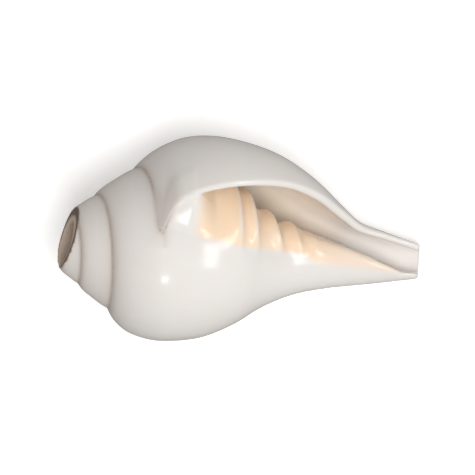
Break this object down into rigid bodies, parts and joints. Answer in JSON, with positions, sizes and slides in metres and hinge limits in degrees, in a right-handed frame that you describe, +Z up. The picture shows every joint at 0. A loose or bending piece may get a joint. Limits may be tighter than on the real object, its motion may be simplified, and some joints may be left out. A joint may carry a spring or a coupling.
{
  "type": "conch shell",
  "caption": "Polished white conch shell with its point cut off to leave a blowing hole, a long mouth beside a folded peach pillar and an open canal, lying mouth up.",
  "frame": {"origin": "middle of the bounding box in X and Y, on the surface that the shell lies on", "axes": "+X along the shell as it lies, from the cut rim to the canal's end; +Y to the side of the outer lip; +Z up, out of the mouth"},
  "size_m": [0.1518, 0.0884, 0.085],
  "materials": {
    "shell": "polished"
  },
  "bodies": {
    "root": {"shell": "shell"}
  },
  "joints": []
}
